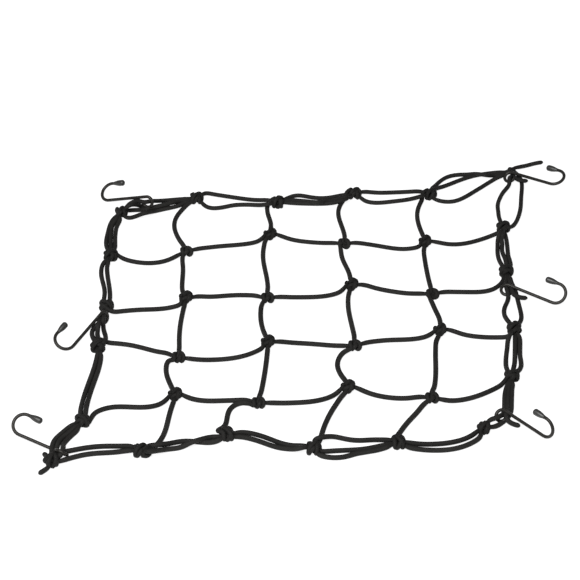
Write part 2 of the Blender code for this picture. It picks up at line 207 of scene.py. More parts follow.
FREE_RIGHT = (
    (0, 1, (
        (208, 231, 4), ("far_right", 0.6), (202, 211, 5), (195, 201, 3.2), (191, 191), (188, 180),
        (188, 168), (188, 157, 2.8),
    )),
    (0, 1, ((211, 232, 3), (214, 224), (214, 210), (212, 193), (210, 173), (205, 153), (199, 141, 3.4))),
    (1, 2, ((185, 127, 2.8), (184, 113), (183, 100), (184, 87))),
    (1, 2, ((188, 123, 3.6), (187, 110, 3.4), (188, 97, 3.2), (190, 87, 3.4))),
    (1, 2, ((193, 121), (193, 105), (193, 92), (194, 80, 3))),
    (2, 3, (
        (187, 49, 5.4), (188, 37, 5), (189, 30, 3.6), (188, 24, 2.8), (185, 17), (183, 7), (184, -2, 2.8),
    )),
    (2, 3, ((194, 48, 2.8), (196, 40), (197, 29), (198, 16), (199, 3), (198, -7, 3))),
    (2, None, ((191, 47, 6), (191, 37, 4.6), (195, 31, 3), (199, 29, 2.5), (206, 29, 2.3))),
    (3, 4, ((184, -32, 2.8), (183, -45), (181, -58), (180, -69), (180, -78, 3))),
    (3, 4, ((191, -32, 2.6), (190, -45), (189, -58), (188, -69, 2.6), (186, -79, 3))),
    (3, 4, ((194, -32, 2.8), (194, -44), (193.5, -57), (194, -67), (193, -77, 2.6))),
    (4, 5, (
        (178, -105, 2.8), (176, -116, 2.6), (175, -129, 3), (174, -139, 4.5), ("near_right", 0.0),
        (166, -154, 8.5), (160, -155, 8),
    )),
    (4, 5, ((183, -107), (182, -118), (181, -130), (180, -139), (176, -147), (171, -153), (166, -158))),
    (4, None, (
        (180, -108, 2.8), (179, -119, 2.8), (177, -130, 3.4), (175, -141, 4.6), (174, -149, 4.6),
        (179, -154, 2.6), (187, -157, 2.3),
    )),
)
FREE_NEAR = (
    (1, 2, (
        (-137, -184, 3), (-128, -182, 2.6), (-120, -181), (-111, -178), (-102, -178, 2.6), (-94, -179),
        (-85, -180), (-78, -179, 3.5),
    )),
    (1, 2, (
        (-137, -191, 2.6), (-126, -189), (-118, -188), (-109, -186), (-102, -182, 4.6), (-94, -176, 2.8),
        (-85, -172), (-77, -173, 3.5),
    )),
    (1, None, ((-143, -197, 3), (-139, -198, 2.6), (-136, -194, 3), (-138, -190, 4.8), (-145, -189, 5.4))),
    (3, 4, (
        (8, -176, 3.4), (12, -172, 2.6), (17, -171), (22, -171), (28, -173), (37, -176), (46, -177),
        (55, -176), (64, -176), (72, -177, 3),
    )),
    (3, 4, ((13, -192, 2.6), (20, -191), (33, -190), (46, -189), (55, -187), (64, -184), (72, -182, 2.8))),
    (3, 4, (
        (10, -197, 2.8), (16, -199), (24, -200), (32, -199), (41, -195), (51, -191, 2.6), (61, -189, 2.6),
    )),
)
FREE_LEFT = (
    (0, 1, ((-187, 155, 3), (-190, 144), (-191, 133), (-192, 121), (-191, 109, 3))),
    (0, 1, ((-188, 146, 3.2), (-189, 135, 3), (-189, 124, 3), (-188, 111, 3.5))),
    (0, 1, ((-182, 147, 3), (-184, 138), (-184, 128), (-183, 116))),
    (2, 3, ((-185, -1, 6), ("left", 0.0), (-193, -15, 5), (-197, -20), (-197, -27), (-195, -34, 3))),
    (2, 3, ((-190, -6, 4), (-191, -14, 3), (-191.5, -22, 2.6), (-192, -31, 3))),
    (2, 3, ((-187, -8), (-187, -17, 2.8), (-186, -23, 3), (-184.5, -28, 3), (-183, -38, 3.8))),
    (4, 5, ((-208, -158, 3), (-214, -166), (-219, -173), (-222, -182, 2.8))),
    (4, 5, ((-205, -162, 3.4), (-209, -168, 3), (-215, -175, 3), (-218, -183, 3.4))),
    (4, 5, ((-202, -162), (-207, -169), (-211, -176), (-213, -183, 3), ("near_left", 0.0))),
)
# Cut ends at the corners, each from its knot.
TAILS = (
    ((0, 5), ((208, 240, 4.5), (214, 244, 3.4), (222, 248), (230, 252), (238, 254))),
    ((5, 0), ((-223, -210, 3), (-224, -214), (-228, -218), (-231, -221))),
    ((5, 0), ((-225, -200, 3.4), (-229, -194))),
)
# The far right corner's last turn, whose cut end comes out under the hook.
FAR_RIGHT_TURN = ((203, 236, 5), (207, 229, 2.6), (210, 222, 2.5), (214, 220, 2.6), (220, 221))
CORNERS = (((0, 0), 20, 1.0), ((0, 5), -20, 0.62), ((5, 0), 200, 1.12), ((5, 5), 180, 0.95))

# A mesh knot: one cord runs through, the other makes two turns round it. East, north and up of its middle.
# The through cord's second numbers are shares of how far it is shifted aside there.
CORE = ((-4.4, 1.0, -0.1), (-1.6, 0.3, 0.0), (1.6, 0.3, 0.0), (4.4, 1.0, -0.1))
CORE_SHIFT = 1.2
CORE_FOLLOW = 0.4  # how much the shift follows the strand outside
BESIDE_KNOT = 9.0 / CELL  # share of a strand at which its side of the knot is told
COLUMN_TURNS = (
    (0.2, 4.8, 1.2), (2.1, 2.1, 2.9), (4.0, -0.5, 2.6), (4.1, -3.4, 0.5),
    (2.4, -3.5, -1.9), (0.7, -0.4, -2.8), (0.0, 2.6, -2.4), (-1.2, 4.1, -0.6), (-3.1, 3.5, 1.4),
    (-4.2, 1.0, 2.7), (-4.3, -1.8, 2.3), (-4.0, -4.4, 0.6),
)
ROW_TURNS = (
    (-4.9, -0.8, 1.2), (-2.4, 0.6, 2.7), (0.9, 2.9, 2.9), (4.2, 5.0, 1.4),
    (4.6, 3.8, -1.2), (1.0, 0.8, -2.7), (-2.2, -1.8, -2.5), (-3.9, -3.6, -0.6), (-2.9, -4.1, 1.6),
    (-0.4, -3.4, 2.8), (2.4, -2.6, 2.2), (4.8, -0.8, 0.8),
)
# A border knot: two wraps of the cord's end round the strands that it ties, with a crossing on top of them,
# and a three-lobed turn of the border's own cord that is drawn up tightly over them.
HITCH = (
    (-3.0, -4.9, 0.2), (-3.2, -1.8, 3.6), (-3.0, 2.2, 3.6), (-2.8, 4.7, 0.3), (-2.2, 2.8, -2.6),
    (-2.6, -2.0, -2.6), (-4.0, -4.9, -0.2), (-2.4, -3.0, 4.2), (0.6, 0.4, 5.0), (3.4, 3.8, 3.0),
    (3.7, 4.6, -0.6), (3.2, 1.8, -2.7), (3.0, -2.6, -2.6), (3.0, -4.9, 0.2), (2.2, -2.8, 3.4),
    (1.0, 1.2, 3.4),
)
SIDE_LEAD = ((-8.6, -4.2, 0.8), (-6.4, -0.5, 3.2))
SIDE_LEAD_FROM = 4.5  # a cord that comes in farther beside its knot runs over the border into it
KNOT_SCALE = 1.06
LOBE_SCALE = 1.08
MESH_LOBE_SCALE = 0.86
ODD_LOBE_SCALE = 1.02
ODD_LOBE_HEADING = 18.0
EVEN_LOBE_HEADING = 25.0
LOBE_SPREAD = 1.72
LOBE_RISE = 3.1
LOBE_LIFT = 0.7
LOBE_STEPS = 18
LOBE_ARC = 335.0
LOBE_TWIST = -12.0
TWIST_STEP = 17.0
TWISTS = 5

# A hook's wire and its dipped tip, in rings and millimetres.
EYE_STEPS = 22
SHANK_STEPS = 8
BEND_STEPS = 18
WIRE_SPACING = 0.7
WIRE_SIDES = 16
WIRE_END = 0.7  # share of its thickness at the eye's end
UNDER_TIP = (0.25, 0.5, 0.7)  # how far the wire runs on inside the tip
TIP_SIDES = 20
TIP_BODY_RINGS = 14
TIP_CAP_RINGS = 9
TIP_SKIN = 0.12
TIP_FULL_AT = 0.62
TIP_ROUND_FROM = 0.8
TIP_SWELL = 1.3
TIP_POINT = 0.02

# Finishes: how finely the wire's marks lie along and round it, and how sharply the painted shade darkens the
# braid's gaps.
WIRE_MARKS = (60.0, 9.0, 1.0)
GAP_SHARPNESS = 0.6

# The stage, in metres.
SOFTBOX_SIZE = (1.6, 1.2)
SOFTBOX_PLACE = (-0.5, -1.2, 1.7)
LOOK_AT = Vector((-0.0142, 0.0289, 0.0))
ELEVATION = 37.0
DISTANCE = 2.5
SENSOR = 36.0
PICTURE_PIXELS = 580.0
FOCAL_PIXELS = 2662.0


# ---- settings ----
def number(name, description, value, least=0.0, **kind):
    """A setting that is a number."""
    return FloatProperty(name=name, description=description, default=value, min=least, **kind)


def tone(name, description, *value):
    """A setting that is a colour."""
    return FloatVectorProperty(
        name=name, description=description, default=value, size=3, min=0.0, max=1.0, subtype="COLOR"
    )


distance = partial(number, unit="LENGTH")
share_of = partial(number, max=1.0, subtype="FACTOR")


class CordSettings(bpy.types.PropertyGroup):
    diameter: distance("Diameter", "Across the braided cord", 0.0042, 0.001)
    spacing: distance("Ring spacing", "Between the rings of a cord's mesh", 0.0013, 0.0005)
    knot_squeeze: share_of("Knot squeeze", "Share of its diameter that the cord keeps in a knot", 0.86, 0.5)
    # Painted shade: the threads are painted darker in a knot, for the shade in its crevices.
    knot_painted_shade: share_of("Knot shade", "How much darker the threads are in a knot", 0.22)
    colour: tone("Thread colour", "Black threads in full light", 0.0086, 0.0082, 0.0075)
    # Painted shade: the gaps between the braid's threads are painted darker than the threads in full light.
    painted_gap_shade: tone("Gap painted shade", "Between the threads", 0.0036, 0.0036, 0.0034)
    carriers: IntProperty(name="Carriers", description="Threads of each hand", default=8, min=4)
    braid_pitch: distance("Braid pitch", "Length in which a thread goes round once", 0.011, 0.002)


class HookSettings(bpy.types.PropertyGroup):
    wire: distance("Wire", "Diameter of the hook wire", 0.0031, 0.001)
    shank: distance("Shank", "Straight length from eye to bend", 0.044, 0.01)
    bend_radius: distance("Bend radius", "To the middle of the wire", 0.0094, 0.003)
    bend_angle: number("Bend", "How far the wire turns back", math.radians(182), subtype="ANGLE")
    eye_radius: distance("Eye radius", "To the middle of the wire", 0.0052, 0.003)
    eye_angle: number("Eye", "How far the eye closes", math.radians(284), subtype="ANGLE")
    tip_reach: distance("Tip reach", "From the end of the bend to the end of the tip", 0.014, 0.004)
    tip_length: distance("Tip length", "Length of the dipped tip", 0.0124, 0.004)
    tip_diameter: distance("Tip diameter", "Across the dipped tip at its widest", 0.006, 0.002)
    steel: tone("Steel", "Colour of the wire", 0.015, 0.0142, 0.0128)
    vinyl: tone("Vinyl", "Colour of the dipped tips", 0.008, 0.008, 0.0073)


class StageSettings(bpy.types.PropertyGroup):
    floor: tone("Floor", "Colour of the floor", 0.93, 0.93, 0.93)
    floor_size: distance("Floor size", "Side of the floor", 12.0, 1.0)
    key_power: number("Key light", "Power of the large lamp overhead", 110.0, unit="POWER")
    surround: number("Surround", "Brightness of the white surround", 0.42)
    glow: number("Glow", "Brightness of the floor and the surround as the camera sees them", 1.05)
    wash: share_of("Wash", "Share of the floor's look that is its glow, which thins the shadows", 0.84)


# ---- routes, in millimetres on the grid ----
def knot_place(row, column):
    """The middle of a knot on the grid, at floor height."""
    east, north = KNOTS[row][column]
    half = (LINES - 1) / 2
    return Vector(((column - half) * CELL + east, (half - row) * CELL + north, 0.0))


PLACE = {(row, column): knot_place(row, column) for row in range(LINES) for column in range(LINES)}


def on_knot(points, middle, heading=0.0, height=KNOT_MIDDLE, mirror=False, scale=1.0):
    """Local points of a knot's cord, turned to its heading and set on its middle."""
    turn = Matrix.Rotation(heading, 3, "Z")
    side = Vector((-1.0 if mirror else 1.0, 1.0, 1.0))
    lifted = middle + Vector((0.0, 0.0, height))
    return [lifted + turn @ (Vector(point) * side * scale) for point in points]


def offset_at(span, t):
    """How far a slack strand lies to the left of the straight way, at a share of the way."""
    ends = span.leave * (1 - t) + span.arrive * t
    return ends + span.bow * math.sin(math.pi * t) + span.sway * math.sin(2 * math.pi * t)


def place_at(start, end, span, t):
    """A place at a share of the way along a slack strand."""
    along = (end - start).normalized()
    return start.lerp(end, t) + Vector((-along.y, along.x, 0.0)) * offset_at(span, t)


def through_points(cord, step, spans, heading):
    """Points of the cord that runs through a mesh knot, turned in from where its strands come and go."""
    middle = cord[step]
    before = place_at(cord[step - 1], middle, spans[step - 1], 1 - BESIDE_KNOT)
    after = place_at(middle, cord[step + 1], spans[step], BESIDE_KNOT)
    turn_back = Matrix.Rotation(-heading, 3, "Z")
    points = []
    for (along, part, up), place in zip(CORE, (before, before, after, after)):
        shift = max(-CORE_SHIFT, min(CORE_SHIFT, (turn_back @ (place - middle)).y * CORE_FOLLOW))
        points.append((along, shift * part, up))
    return on_knot(points, middle, heading)


def strand_points(start, end, span):
    """Points along a slack strand between two knots, without its ends inside the knots."""
    points = []
    for step in range(1, STRAND_STEPS):
        point = place_at(start, end, span, step / STRAND_STEPS)
        near = min((point - start).length, (point - end).length)
        if near > KNOT_REACH + STRAND_CLEAR:
            point.z = LYING + (KNOT_MIDDLE - LYING) * math.exp(-(((near - KNOT_REACH) / SINKING) ** 2))
            points.append(point)
    return points


def hitch_points(knot, heading, offset, scale=KNOT_SCALE):
    """A cord's hitch on a border knot, which it reaches at an offset along the border."""
    points = SIDE_LEAD + HITCH[2:] if abs(offset) > SIDE_LEAD_FROM else HITCH
    height = BORDER_MIDDLE * min(scale, 1.0)
    return on_knot(points, PLACE[knot], heading, height, mirror=offset > 0, scale=scale)


def lobed_turn(knot, heading, scale=LOBE_SCALE):
    """A three-lobed turn round a knot."""
    points = []
    for step in range(LOBE_STEPS + 1):
        t = math.radians(LOBE_ARC * step / LOBE_STEPS)
        across = LOBE_SPREAD * (math.sin(t) + 2 * math.sin(2 * t))
        along = LOBE_SPREAD * (math.cos(t) - 2 * math.cos(2 * t))
        points.append((across, along, LOBE_LIFT - LOBE_RISE * math.sin(3 * t)))
    return on_knot(points, PLACE[knot], heading, BORDER_MIDDLE * min(scale, 1.0), scale=scale)


def lobe_twist(knot):
    """How a knot's lobed turn is twisted, so that no two neighbours look the same."""
    turn = (3 * knot[0] + 2 * knot[1]) % TWISTS - TWISTS // 2
    return math.radians(LOBE_TWIST + TWIST_STEP * turn)


def mesh_lobe(knot):
    """The lobed turn on a mesh knot. On every second knot it stands out more."""
    if sum(knot) % 2:
        return lobed_turn(knot, math.radians(ODD_LOBE_HEADING), ODD_LOBE_SCALE)
    return lobed_turn(knot, math.radians(EVEN_LOBE_HEADING) + lobe_twist(knot), MESH_LOBE_SCALE)


def mesh_route(line, down):
    """A mesh cord from its hitch on one border to its hitch on the other, across the net or down it."""
    spans = (COLUMN_STRANDS if down else ROW_STRANDS)[line - 1]
    first, last, quarter = (0, 180, 90) if down else (90, -90, 0)
    knots = [(step, line) if down else (line, step) for step in range(LINES)]
    cord = [PLACE[knot] for knot in knots]
    route = hitch_points(knots[0], math.radians(first), spans[0].leave)[::-1]
    for step in range(1, LINES):
        route += strand_points(cord[step - 1], cord[step], spans[step - 1])
        if step < LINES - 1:
            row, column = knots[step]
            before, after = PLACE[row, column - 1], PLACE[row, column + 1]
            heading = math.atan2(after.y - before.y, after.x - before.x)
            if (row + column) % 2 == down:
                route += through_points(cord, step, spans, heading - math.radians(quarter))
            else:
                route += on_knot(COLUMN_TURNS if down else ROW_TURNS, cord[step], heading)
    return route + hitch_points(knots[-1], math.radians(last), -spans[-1].arrive)


def knot_end(knot, towards, offset, rise=0.0):
    """Points of a border strand inside a knot, from beyond its middle outwards."""
    middle = PLACE[knot]
    direction = (towards - middle).xy.to_3d().normalized()
    side = Vector((-direction.y, direction.x, 0.0))
    aside = max(-LANE_HOLD, min(LANE_HOLD, offset))
    held = middle + side * aside + Vector((0.0, 0.0, BORDER_MIDDLE + rise))
    return [held - direction * THROUGH_KNOT, held + direction * THROUGH_KNOT]


def border_route(first, last, span, rise):
    """A border strand from inside one knot to inside the next."""
    start, end = PLACE[first], PLACE[last]
    points = strand_points(start, end, span)
    for point in points:
        point.z += max(0.0, rise)
    return knot_end(first, end, span.leave, rise) + points + knot_end(last, start, -span.arrive, rise)[::-1]


def listed(place):
    """A listed place, which lies on the floor where it has no height."""
    return Vector(place if len(place) == 3 else (*place, LYING))


def free_route(first, last, way, eye_radius):
    """A strand from a knot along its listed places, through hooks' eyes where it names them."""
    fixed = [None if isinstance(place[0], str) else listed(place) for place in way]
    ends = [PLACE[first], PLACE[last] if last else None]
    points = []
    for step, place in enumerate(way):
        if fixed[step]:
            points.append(fixed[step])
            continue
        name, beside = place
        before = fixed[step - 1] if step else ends[0]
        after = fixed[step + 1] if step + 1 < len(fixed) else ends[1]
        points += through_eye(name, eye_radius, before, after, beside)
    route = knot_end(first, points[0], 0.0) + points
    if last:
        route += knot_end(last, points[-1], 0.0)[::-1]
    return route


def through_eye(name, radius, before, after, beside):
    """Places on a strand's way through a hook's eye."""
    centre, axis = eye_of(name, radius)
    along = (after - before).xy.to_3d().normalized()
    centre = centre + Vector((-along.y, along.x, 0.0)) * beside
    lead = ((axis if axis.dot(along) > 0 else -axis) + along).normalized() * EYE_LEAD
    threaded = [centre - lead, centre, centre + lead]
    for point in threaded:
        point.z = max(point.z, LYING)
    return threaded


def hook_turn(hook):
    """A hook's turn, whose own +X runs along the shank and whose +Y points to the bend."""
    about_up = Matrix.Rotation(math.radians(hook.heading), 3, "Z")
    about_side = Matrix.Rotation(math.radians(-hook.pitch), 3, "Y")
    return about_up @ about_side @ Matrix.Rotation(math.radians(hook.roll), 3, "X")


def eye_of(name, radius):
    """Centre and axis of a hook's eye."""
    hook = next(hook for hook in HOOKS if hook.name == name)
    turn = hook_turn(hook) @ Matrix.Rotation(math.radians(hook.eye_turn), 3, "X")
    start = Vector((hook.east, hook.north, hook.up))
    return start + turn @ Vector((0.0, -radius, 0.0)), turn @ Vector((0.0, 0.0, 1.0))


def smooth_route(points, spacing):
    """Evenly spaced points on a smooth curve through the route's points."""
    given = np.array([point[:] for point in points])
    given = np.vstack([2 * given[0] - given[1], given, 2 * given[-1] - given[-2]])
    knots = np.concatenate([[0.0], np.cumsum(np.sqrt(np.linalg.norm(np.diff(given, axis=0), axis=1)))])
    pieces = []
    for i in range(1, len(given) - 2):
        t = np.linspace(knots[i], knots[i + 1], SPLINE_STEPS, endpoint=False)[:, None]
        p, k = given[i - 1 : i + 3], knots[i - 1 : i + 3]
        for level in (1, 2, 3):
            p = [
                ((k[j + level] - t) * p[j] + (t - k[j]) * p[j + 1]) / (k[j + level] - k[j])
                for j in range(len(p) - 1)
            ]
        pieces.append(p[0])
    dense = np.vstack([*pieces, given[-2:-1]])
    along = np.concatenate([[0.0], np.cumsum(np.linalg.norm(np.diff(dense, axis=0), axis=1))])
    even = np.linspace(0.0, along[-1], max(8, round(along[-1] / spacing)) + 1)
    return np.stack([np.interp(even, along, dense[:, axis]) for axis in range(3)], axis=1)


# ---- meshes ----
def drawn_up(route):
    """How tightly a cord is drawn up along its route, from none when slack to 1 inside a knot."""
    middles = np.array([place[:] for place in PLACE.values()])
    gaps = np.linalg.norm(route[:, None, :2] - middles[None, :, :2], axis=2).min(axis=1)
    ease = np.clip((gaps - DRAWN_REACH) / DRAWN_REACH, 0.0, 1.0)
    return 1.0 - ease * ease * (3 - 2 * ease)


def relax(route, drawn):
    """A route that bends more gently wherever its cord is slack."""
    free = (1.0 - drawn[1:-1])[:, None]
    for step in range(RELAXING):
        route[1:-1] += free * ((route[:-2] + route[2:]) / 2 - route[1:-1]) / 2
    return route


def clear_of(path, radius, drawn, laid):
    """A slack cord's route, moved off the cords laid before it.

    It moves aside from one that runs along it and is lifted over one that it crosses.
    """
    along = directions(path)
    lift = np.zeros(len(path))
    push = np.zeros((len(path), 2))
    every = np.arange(len(path))
    for other, other_radius, other_drawn in laid:
        if (other.min(axis=0) > path.max(axis=0) + MEETING_REACH).any():
            continue
        if (path.min(axis=0) > other.max(axis=0) + MEETING_REACH).any():
            continue
        flat = np.linalg.norm(path[:, None, :2] - other[None, :, :2], axis=2)
        near = flat.argmin(axis=1)
        flat = flat[every, near]
        apart = path - other[near]
        reach = radius + other_radius[near]
        above = np.sqrt(np.clip(reach**2 - flat**2, 0.0, None))
        slack = (drawn < STILL_SLACK) & (other_drawn[near] < STILL_SLACK)
        meets = slack & (np.abs(apart[:, 2]) < above)
        cosine = np.abs((along[:, :2] * directions(other)[near][:, :2]).sum(axis=1))
        beside = (cosine > ALONGSIDE) & (flat > LEAST_APART)
        lift = np.maximum(lift, np.where(meets & ~beside, PRESSED * above - apart[:, 2], 0.0))
        room = np.sqrt(np.clip(reach**2 - apart[:, 2] ** 2, 0.0, None)) - flat
        aside = np.clip(np.where(meets & beside, room, 0.0), 0.0, MOST_ASIDE)
        push += apart[:, :2] / np.maximum(flat, LEAST_APART)[:, None] * aside[:, None]
    eased = np.zeros(len(path))
    padded = np.pad(lift, LIFT_STEPS)
    for step in range(-LIFT_STEPS, LIFT_STEPS + 1):
        share = (1 + math.cos(math.pi * step / LIFT_STEPS)) / 2
        eased = np.maximum(eased, padded[LIFT_STEPS - step : LIFT_STEPS - step + len(path)] * share)
    moved = path.copy()
    moved[:, 2] += eased
    moved[:, 1] -= LIFT_LEAN * eased
    moved[:, :2] += push
    return moved


def directions(path):
    """Which way a route runs at each of its points."""
    along = np.gradient(path, axis=0)
    return along / np.linalg.norm(along, axis=1)[:, None]


def swell(route):
    """How much thicker a cord lies at each point of its route, towards the near side."""
    norths = [place.y for place in PLACE.values()]
    return 1.0 + NEAR_SWELL * (max(norths) - route[:, 1]) / (max(norths) - min(norths))


def add_tube(work, route, radii, sides, drawn=None):
    """Adds a round tube along a route to a bmesh, in metres in the row frame.

    Its first UV is metres along and turns round. The second UV's X, how tightly the tube is drawn up, masks
    painted shade.
    """
    curve = bpy.data.curves.new("route", "CURVE")
    curve.dimensions = "3D"
    curve.bevel_depth = MM
    curve.bevel_resolution = sides // 2 - 2
    curve.use_fill_caps = True
    spline = curve.splines.new("POLY")
    spline.points.add(len(route) - 1)
    placed = (route - np.array(PART_MIDDLE)) * MM
    spline.points.foreach_set("co", np.column_stack([placed, np.ones(len(placed))]).ravel())
    spline.points.foreach_set("radius", np.asarray(radii, float))
    holder = bpy.data.objects.new("route", curve)
    mesh = bpy.data.meshes.new_from_object(holder)
    bpy.data.objects.remove(holder)
    bpy.data.curves.remove(curve)
    length = float(np.linalg.norm(np.diff(placed, axis=0), axis=1).sum())
    corners = np.empty(len(mesh.loops) * 2, np.float32)
    mesh.uv_layers[0].data.foreach_get("uv", corners)
    shares = corners[0::2].copy()
    corners[0::2] *= length
    mesh.uv_layers[0].data.foreach_set("uv", corners)
    if drawn is not None:
        corners[0::2] = np.interp(shares, np.linspace(0.0, 1.0, len(drawn)), drawn)
        mesh.uv_layers.new(name=KNOT_SHADE_UV).data.foreach_set("uv", corners)
    work.from_mesh(mesh)
    bpy.data.meshes.remove(mesh)


def add_piece(context, name, work, finish, slot, *stands_for):
    """Turns a bmesh into a finished piece of the model, riding with the net."""
    bmesh.ops.remove_doubles(work, verts=work.verts, dist=1e-7)
    for face in work.faces:
        face.smooth = True
    mesh = bpy.data.meshes.new(name)
    work.to_mesh(mesh)
    work.free()
    mesh.materials.append(finish)
    piece = bpy.data.objects.new(name, mesh)
    context.scene.collection.objects.link(piece)
    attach(piece, "root")
    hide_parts(*stands_for)


def add_cords(context, name, routes, thickness=1.0):
    """One piece of braided cords, each along its own route. A slack cord is thicker than a taut one."""
    cord = context.scene.cargonet_cord
    work = bmesh.new()
    LAID.pop(name, None)
    laid = [cord_laid for cords in LAID.values() for cord_laid in cords]
    own = LAID[name] = []
    for route in routes:
        path = smooth_route(route, cord.spacing / MM)
        drawn = drawn_up(path)
        path = relax(path, drawn)
        kept = 1.0 - (1.0 - cord.knot_squeeze) * drawn
        radius = thickness * cord.diameter / MM / 2 * swell(path) * kept
        path = relax(clear_of(path, radius, drawn, laid + own), drawn)
        path[:, 2] = np.maximum(path[:, 2], radius)
        own.append((path.copy(), radius.copy(), drawn))
        for step, share in enumerate(CUT_TAPER):
            radius[step] *= share
            radius[-1 - step] *= share
        add_tube(work, path, radius, CORD_SIDES, drawn)
    add_piece(context, name, work, sheath(cord), "cord", "net")


# ---- materials ----
def node_group(name, inputs, outputs):
    """A node group with named sockets. All of them are floats, apart from one named Vector."""
    group = bpy.data.node_groups.new(name, "ShaderNodeTree")
    for in_out, sockets in (("INPUT", inputs), ("OUTPUT", outputs)):
        for socket in sockets:
            kind = "NodeSocketVector" if socket == "Vector" else "NodeSocketFloat"
            group.interface.new_socket(socket, in_out=in_out, socket_type=kind)
    return group, group.nodes.new("NodeGroupInput"), group.nodes.new("NodeGroupOutput")


def maths(nodes, links, operation, *values):
    """A Math node, fed by sockets or constants. Returns its output."""
    node = nodes.new("ShaderNodeMath")
    node.operation = operation
    for socket, value in zip(node.inputs, values):
        if isinstance(value, (int, float)):
            socket.default_value = value
        else:
            links.new(value, socket)
    return node.outputs[0]


def braid_group():
    """Two hands of threads that plait over and under each other. Around is in turns and Along in metres."""
    if "Braided Sheath" in bpy.data.node_groups:
        return bpy.data.node_groups["Braided Sheath"]
    group, given, made = node_group(
        "Braided Sheath", ("Around", "Along", "Carriers", "Pitch"), ("Height", "Gap")
    )
    nodes, links = group.nodes, group.links
    calc = partial(maths, nodes, links)
    turns = calc("DIVIDE", given.outputs["Along"], given.outputs["Pitch"])
    hands = []
    for operation in ("ADD", "SUBTRACT"):
        phase = calc("MULTIPLY", calc(operation, given.outputs["Around"], turns), given.outputs["Carriers"])
        crown = calc("ABSOLUTE", calc("SINE", calc("MULTIPLY", phase, math.pi)))
        hands.append((calc("FLOOR", phase), crown))
    over = calc("PINGPONG", calc("ADD", hands[0][0], hands[1][0]), 1.0)
    mix = nodes.new("ShaderNodeMix")
    links.new(over, mix.inputs[0])
    links.new(hands[0][1], mix.inputs[2])
    links.new(hands[1][1], mix.inputs[3])
    links.new(mix.outputs[0], made.inputs["Height"])
    # Gap: how far a place lies out of the painted shade between the threads, lightest on their crowns.
    links.new(calc("POWER", mix.outputs[0], GAP_SHARPNESS), made.inputs["Gap"])
    return group


def wear_group():
    """Faint uneven patches at one scale, to vary a colour or a gloss."""
    if "Patches" in bpy.data.node_groups:
        return bpy.data.node_groups["Patches"]
    group, given, made = node_group("Patches", ("Vector", "Scale", "Low", "High"), ("Value",))
    nodes, links = group.nodes, group.links
    noise = nodes.new("ShaderNodeTexNoise")
    noise.inputs["Detail"].default_value = 3.0
    spread = nodes.new("ShaderNodeMapRange")
    spread.inputs["From Min"].default_value = 0.3
    spread.inputs["From Max"].default_value = 0.7
    links.new(given.outputs["Vector"], noise.inputs["Vector"])
    links.new(given.outputs["Scale"], noise.inputs["Scale"])
    links.new(noise.outputs["Fac"], spread.inputs["Value"])
    links.new(given.outputs["Low"], spread.inputs["To Min"])
    links.new(given.outputs["High"], spread.inputs["To Max"])
    links.new(spread.outputs["Result"], made.inputs["Value"])
    return group


def new_material(name):
    """A new material with its nodes, its links and its shader."""
    made = bpy.data.materials.new(name)
    made.use_nodes = True
    nodes = made.node_tree.nodes
    return made, nodes, made.node_tree.links, nodes["Principled BSDF"]


def add_group(nodes, group, **values):
    """A node for a group, with values for its inputs."""
    node = nodes.new("ShaderNodeGroup")
    node.node_tree = group
    for name, value in values.items():
        node.inputs[name].default_value = value
    return node


def patchy(nodes, links, vector, scale, low, high):
    """A value that varies in patches of one scale, between a low and a high value."""
    patches = add_group(nodes, wear_group(), Scale=scale, Low=low, High=high)
    links.new(vector, patches.inputs["Vector"])
    return patches.outputs["Value"]


def shaded(nodes, links, colour, factor, shader):
    """Gives a shader a colour times a factor. The colour is a socket or a setting."""
    tint = nodes.new("ShaderNodeVectorMath")
    tint.operation = "SCALE"
    if isinstance(colour, bpy.types.NodeSocket):
        links.new(colour, tint.inputs[0])
    else:
        tint.inputs[0].default_value = colour
    links.new(factor, tint.inputs["Scale"])
    links.new(tint.outputs[0], shader.inputs["Base Color"])


def raised(nodes, links, height, shader, strength, depth):
    """Raises a shader's surface by a height."""
    bump = nodes.new("ShaderNodeBump")
    bump.inputs["Strength"].default_value = strength
    bump.inputs["Distance"].default_value = depth
    links.new(height, bump.inputs["Height"])
    links.new(bump.outputs["Normal"], shader.inputs["Normal"])


def uv_axes(nodes, links, name):
    """The X and Y of a UV map."""
    uv = nodes.new("ShaderNodeUVMap")
    uv.uv_map = name
    parts = nodes.new("ShaderNodeSeparateXYZ")
    links.new(uv.outputs["UV"], parts.inputs[0])
    return parts.outputs["X"], parts.outputs["Y"]


def sheath(cord):
    """Black braided cord: plaited threads with painted shade in their gaps and in knots, and a soft nap."""
    if "Braided black cord" in bpy.data.materials:
        return bpy.data.materials["Braided black cord"]
    made, nodes, links, shader = new_material("Braided black cord")
    along, around = uv_axes(nodes, links, "UVMap")
    braid = add_group(nodes, braid_group(), Carriers=float(cord.carriers), Pitch=cord.braid_pitch)
    links.new(along, braid.inputs["Along"])
    links.new(around, braid.inputs["Around"])
    place = nodes.new("ShaderNodeTexCoord").outputs["Object"]
    # Painted shade: the threads go from their colour in full light down to a painted dark in the gaps
    # between them.
    colour = nodes.new("ShaderNodeMix")
    colour.data_type = "RGBA"
    links.new(braid.outputs["Gap"], colour.inputs["Factor"])
    colour.inputs[6].default_value = (*cord.painted_gap_shade, 1.0)
    colour.inputs[7].default_value = (*cord.colour, 1.0)
    # Painted shade: the threads are darkened where the cord is drawn up into a knot, for the shade in its
    # crevices.
    shade_in_knots, _ = uv_axes(nodes, links, KNOT_SHADE_UV)
    calc = partial(maths, nodes, links)
    shade = calc("SUBTRACT", 1.0, calc("MULTIPLY", shade_in_knots, cord.knot_painted_shade))
    patches = patchy(nodes, links, place, scale=38.0, low=0.75, high=1.25)
    shaded(nodes, links, colour.outputs[2], calc("MULTIPLY", patches, shade), shader)
    raised(nodes, links, braid.outputs["Height"], shader, strength=0.5, depth=0.0002)
    links.new(patchy(nodes, links, place, scale=900.0, low=0.62, high=0.86), shader.inputs["Roughness"])
    shader.inputs["Specular IOR Level"].default_value = 0.1
    return made


